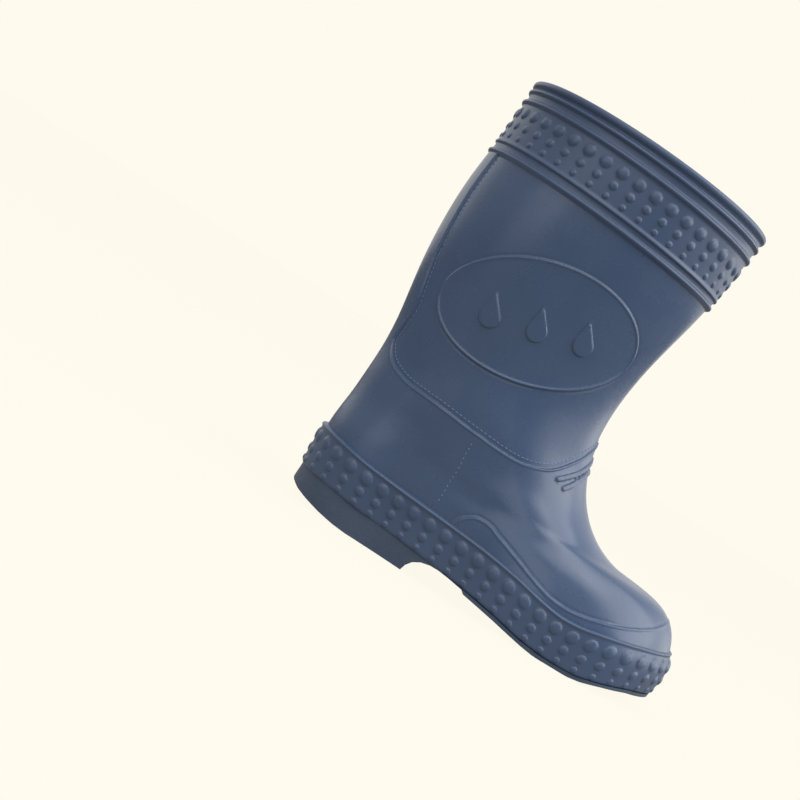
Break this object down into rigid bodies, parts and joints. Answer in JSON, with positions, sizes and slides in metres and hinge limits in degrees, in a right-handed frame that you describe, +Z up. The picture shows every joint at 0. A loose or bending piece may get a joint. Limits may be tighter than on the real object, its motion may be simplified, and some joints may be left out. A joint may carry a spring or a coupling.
{
  "type": "rain boot",
  "caption": "Child's right-foot rain boot with studded foxing and collar bands, raised oval badge, instep bars, ribbed sole, heel, lining and insole.",
  "frame": {"origin": "middle of the overall length and width, on the ground under the sole", "axes": "+X to the toe, -Y to the outer side of the foot, +Z up the leg"},
  "size_m": [0.1456, 0.078, 0.16],
  "materials": {
    "boot_gloss": "smooth glossy moulded PVC, steel blue",
    "sole_matt": "fine matt texture, same blue",
    "lining_cloth": "thin knitted textile",
    "insole_foam": "soft foam"
  },
  "bodies": {
    "root": {"upper_shell": "boot_gloss", "rim_bead": "boot_gloss", "collar_band": "boot_gloss", "collar_studs": "boot_gloss", "vamp_and_counter": "boot_gloss", "toe_guard": "boot_gloss", "instep_bars": "boot_gloss", "badge_plaque": "boot_gloss", "badge_raindrops": "boot_gloss", "foxing_band": "boot_gloss", "foxing_studs": "boot_gloss", "sole_core": "sole_matt", "heel_block": "sole_matt", "forefoot_outsole": "sole_matt", "lining": "lining_cloth", "insole_foam": "insole_foam", "insole_cloth": "lining_cloth"}
  },
  "joints": []
}
